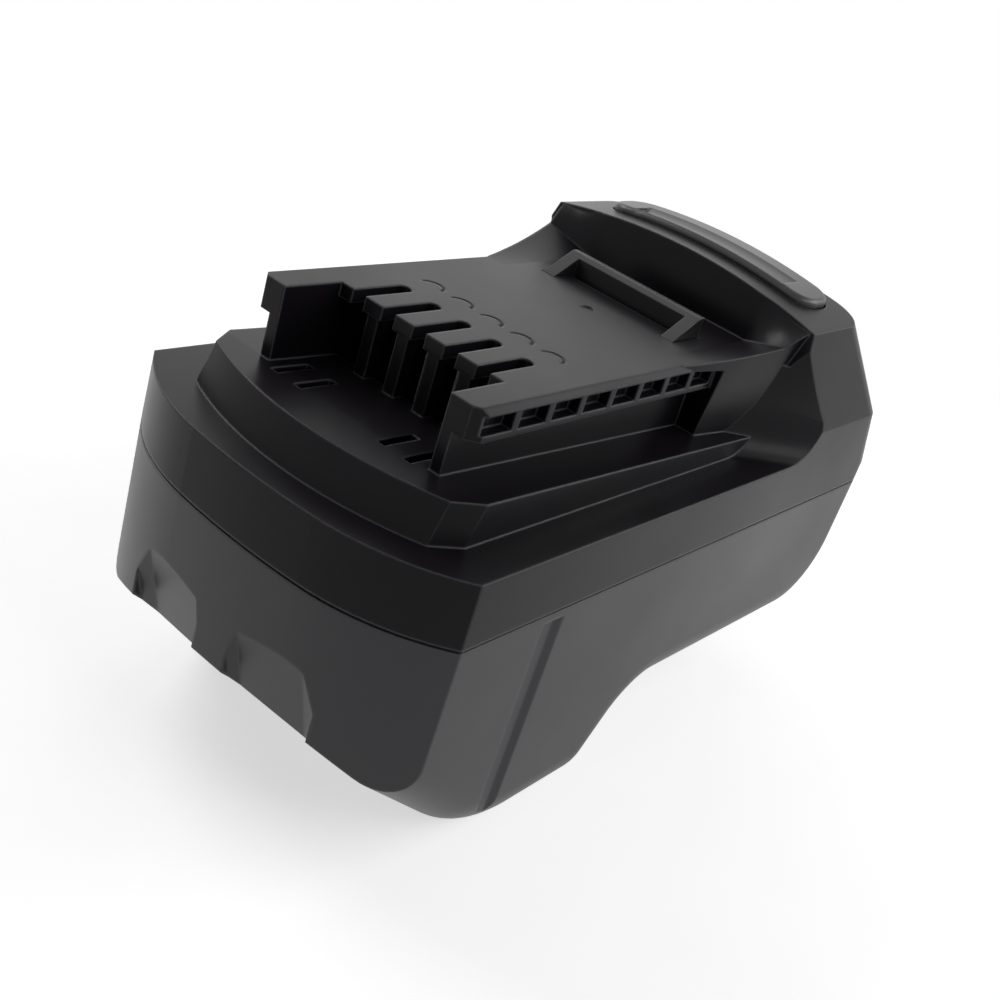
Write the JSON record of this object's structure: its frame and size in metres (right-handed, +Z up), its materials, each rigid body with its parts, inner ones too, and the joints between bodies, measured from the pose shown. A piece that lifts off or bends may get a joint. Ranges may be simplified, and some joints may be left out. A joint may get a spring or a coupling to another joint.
{
  "type": "power tool battery",
  "caption": "Slide-on cordless tool battery: black moulded case, raised deck with side rails, contact slots, sprung latch and release button on a rear hump.",
  "frame": {"origin": "middle of the outline in plan, on the underside of the keel", "axes": "+Z up out of the tool deck, +Y towards the hump, X across; the tool slides off towards -Y"},
  "size_m": [0.0766, 0.1582, 0.0949],
  "materials": {
    "shell_plastic": "fine spark-eroded grain, satin black",
    "latch_plastic": "smooth satin black",
    "button_plastic": "smooth satin black",
    "spring_steel": "drawn wire",
    "holder_plastic": "moulded, matt",
    "insulation_paper": "pressed insulating paper",
    "cell_wrap": "shrink sleeve",
    "nickel": "rolled nickel strip",
    "board_laminate": "lacquered board",
    "block_plastic": "moulded, matt",
    "contact_copper": "stamped copper alloy, tinned ends",
    "sensor_coating": "dipped resin",
    "foam": "closed-cell foam",
    "screw_steel": "black zinc"
  },
  "bodies": {
    "housing": {"bottom_shell": "shell_plastic", "cell_01": "cell_wrap", "cell_02": "cell_wrap", "cell_03": "cell_wrap", "cell_04": "cell_wrap", "cell_05": "cell_wrap", "cell_06": "cell_wrap", "cell_07": "cell_wrap", "cell_08": "cell_wrap", "cell_09": "cell_wrap", "cell_10": "cell_wrap", "cell_11": "cell_wrap", "cell_12": "cell_wrap", "cell_13": "cell_wrap", "cell_14": "cell_wrap", "cell_15": "cell_wrap", "cell_holder_left": "holder_plastic", "cell_holder_right": "holder_plastic", "circuit_board": "board_laminate", "contact_block": "block_plastic", "end_insulator_left": "insulation_paper", "end_insulator_right": "insulation_paper", "foam_pad_front": "foam", "foam_pad_rear": "foam", "fork_contact_1": "contact_copper", "fork_contact_2": "contact_copper", "fork_contact_3": "contact_copper", "fork_contact_4": "contact_copper", "fork_contact_5": "contact_copper", "housing_screws": "screw_steel", "latch_spring_left": "spring_steel", "latch_spring_right": "spring_steel", "nickel_strip_left_front": "nickel", "nickel_strip_left_middle": "nickel", "nickel_strip_left_rear": "nickel", "nickel_strip_right_front": "nickel", "nickel_strip_right_middle": "nickel", "nickel_strip_right_rear": "nickel", "temperature_sensor": "sensor_coating", "top_shell": "shell_plastic"},
    "release": {"latch": "latch_plastic", "release_button": "button_plastic"}
  },
  "joints": [
    {"name": "release_press", "type": "slide", "parent": "housing", "child": "release", "axis": [0, 0, -1], "range_m": [0, 0.0045], "stiffness_N_per_m": 600, "springref_m": -0.004, "deforming": ["latch_spring_left", "latch_spring_right"]}
  ]
}
